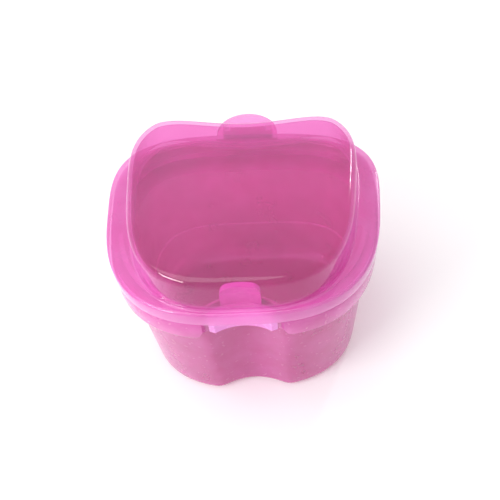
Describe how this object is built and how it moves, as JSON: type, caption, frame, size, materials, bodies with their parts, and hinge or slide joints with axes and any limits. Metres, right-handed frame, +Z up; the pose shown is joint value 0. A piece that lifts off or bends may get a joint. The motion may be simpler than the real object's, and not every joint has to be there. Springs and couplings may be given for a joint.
{
  "type": "denture case",
  "caption": "Translucent pink denture case: a grooved tub, a domed lid on a back hinge with its pin, and a press catch at the front.",
  "frame": {"origin": "on the flat underside of the tub, below the widest line of its rim and on the plane of symmetry", "axes": "+Z up, -Y towards the front catch, +Y towards the hinge, X along the hinge pin"},
  "size_m": [0.0918, 0.0928, 0.071],
  "materials": {
    "tub_polypropylene": "translucent pink moulded polypropylene, satin gloss",
    "lid_polystyrene": "clear pale pink moulded plastic, high gloss",
    "pin_polypropylene": "pink moulded plastic, satin gloss",
    "catch_polypropylene": "denser pink moulded polypropylene, satin gloss"
  },
  "bodies": {
    "tub": {"tub": "tub_polypropylene", "hinge_pin": "pin_polypropylene"},
    "lid": {"lid": "lid_polystyrene"},
    "catch": {"front_catch": "catch_polypropylene"}
  },
  "joints": [
    {"name": "lid_hinge", "type": "hinge", "parent": "tub", "child": "lid", "pos_m": [0, 0.0425, 0.0555], "axis": [-1, 0, 0], "range_deg": [0, 115]},
    {"name": "catch_press", "type": "slide", "parent": "tub", "child": "catch", "axis": [0, 1, 0], "range_m": [0, 0.0014], "stiffness_N_per_m": 2000}
  ]
}
